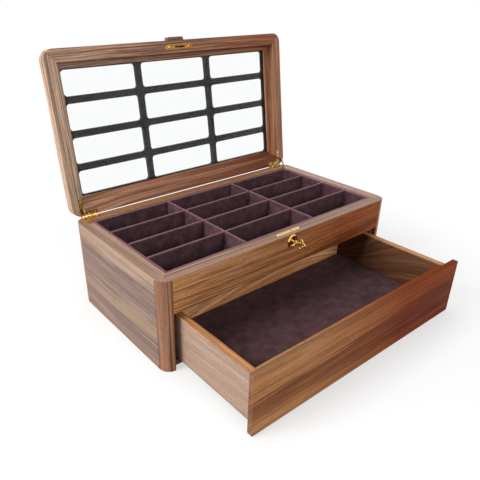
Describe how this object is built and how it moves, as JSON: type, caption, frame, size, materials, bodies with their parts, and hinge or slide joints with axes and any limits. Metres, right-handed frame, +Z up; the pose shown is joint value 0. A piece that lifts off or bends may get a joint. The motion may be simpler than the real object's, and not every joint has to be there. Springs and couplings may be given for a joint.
{
  "type": "glasses box",
  "caption": "Walnut glasses box with velvet compartments under a glazed lid on stay hinges, a box lock with its key, and a lined drawer below.",
  "frame": {"origin": "centre of the case's underside", "axes": "+Z up, +X to the right seen from the front, the front with the lock and drawer faces -Y"},
  "size_m": [0.56, 0.5561, 0.4784],
  "materials": {
    "walnut": "satin oiled walnut",
    "drawer_wood": "matt walnut",
    "panel_wood": "matt veneered panel",
    "velvet": "dark aubergine velvet",
    "suede": "dark aubergine suede cloth",
    "felt": "grey-green felt",
    "brass": "polished brass",
    "black_gloss": "black gloss",
    "glass": "clear flat glass"
  },
  "bodies": {
    "case": {"post_front_left": "walnut", "post_front_right": "walnut", "post_back_left": "walnut", "post_back_right": "walnut", "panel_left": "walnut", "panel_right": "walnut", "panel_back": "walnut", "rail_front": "walnut", "rim_front": "walnut", "rim_back": "walnut", "rim_left": "walnut", "rim_right": "walnut", "guide_strips": "walnut", "base_panel": "panel_wood", "deck_panel": "panel_wood", "runner_strips": "felt", "insert_floor": "velvet", "lining_front": "velvet", "lining_back": "velvet", "lining_left": "velvet", "lining_right": "velvet", "divider_long_front": "velvet", "divider_long_middle": "velvet", "divider_long_back": "velvet", "divider_cross_left": "velvet", "divider_cross_right": "velvet", "lock_plate": "brass", "lock_case": "brass", "escutcheon": "brass", "case_leaf_left": "brass", "case_leaf_right": "brass", "hinge_pins": "brass"},
    "bolt": {"lock_bolt": "brass"},
    "key": {"key": "brass"},
    "stays": {"stay_left": "brass", "stay_right": "brass"},
    "lid": {"lid_rail_front": "walnut", "lid_rail_back": "walnut", "lid_rail_left": "walnut", "lid_rail_right": "walnut", "lid_tab": "walnut", "lid_glass": "glass", "lid_lattice": "black_gloss", "strike_plate": "brass", "lid_leaf_left": "brass", "lid_leaf_right": "brass"},
    "drawer": {"drawer_front": "walnut", "drawer_side_left": "drawer_wood", "drawer_side_right": "drawer_wood", "drawer_inner_front": "drawer_wood", "drawer_back": "drawer_wood", "drawer_lipping_left": "drawer_wood", "drawer_lipping_right": "drawer_wood", "drawer_bottom": "panel_wood", "drawer_pad": "suede"}
  },
  "joints": [
    {"name": "lid_hinge", "type": "hinge", "parent": "case", "child": "lid", "pos_m": [0, 0.1508, 0.1752], "axis": [1, 0, 0], "range_deg": [0, 97.7]},
    {"name": "stay_swing", "type": "hinge", "parent": "case", "child": "stays", "pos_m": [0, 0.1508, 0.1752], "axis": [1, 0, 0], "range_deg": [0, 48.85]},
    {"name": "drawer_slide", "type": "slide", "parent": "case", "child": "drawer", "axis": [0, -1, 0], "range_m": [-0.185, 0.03]},
    {"name": "key_turn", "type": "hinge", "parent": "case", "child": "key", "pos_m": [0, -0.15, 0.161], "axis": [0, -1, 0], "range_deg": [0, 90]},
    {"name": "bolt_swing", "type": "hinge", "parent": "case", "child": "bolt", "pos_m": [-0.004, -0.1376, 0.166], "axis": [0, -1, 0], "range_deg": [0, 90]}
  ],
  "couplings": [
    {"joint": "stay_swing", "follows": "lid_hinge", "ratio": 0.5},
    {"joint": "bolt_swing", "follows": "key_turn", "ratio": 1}
  ]
}
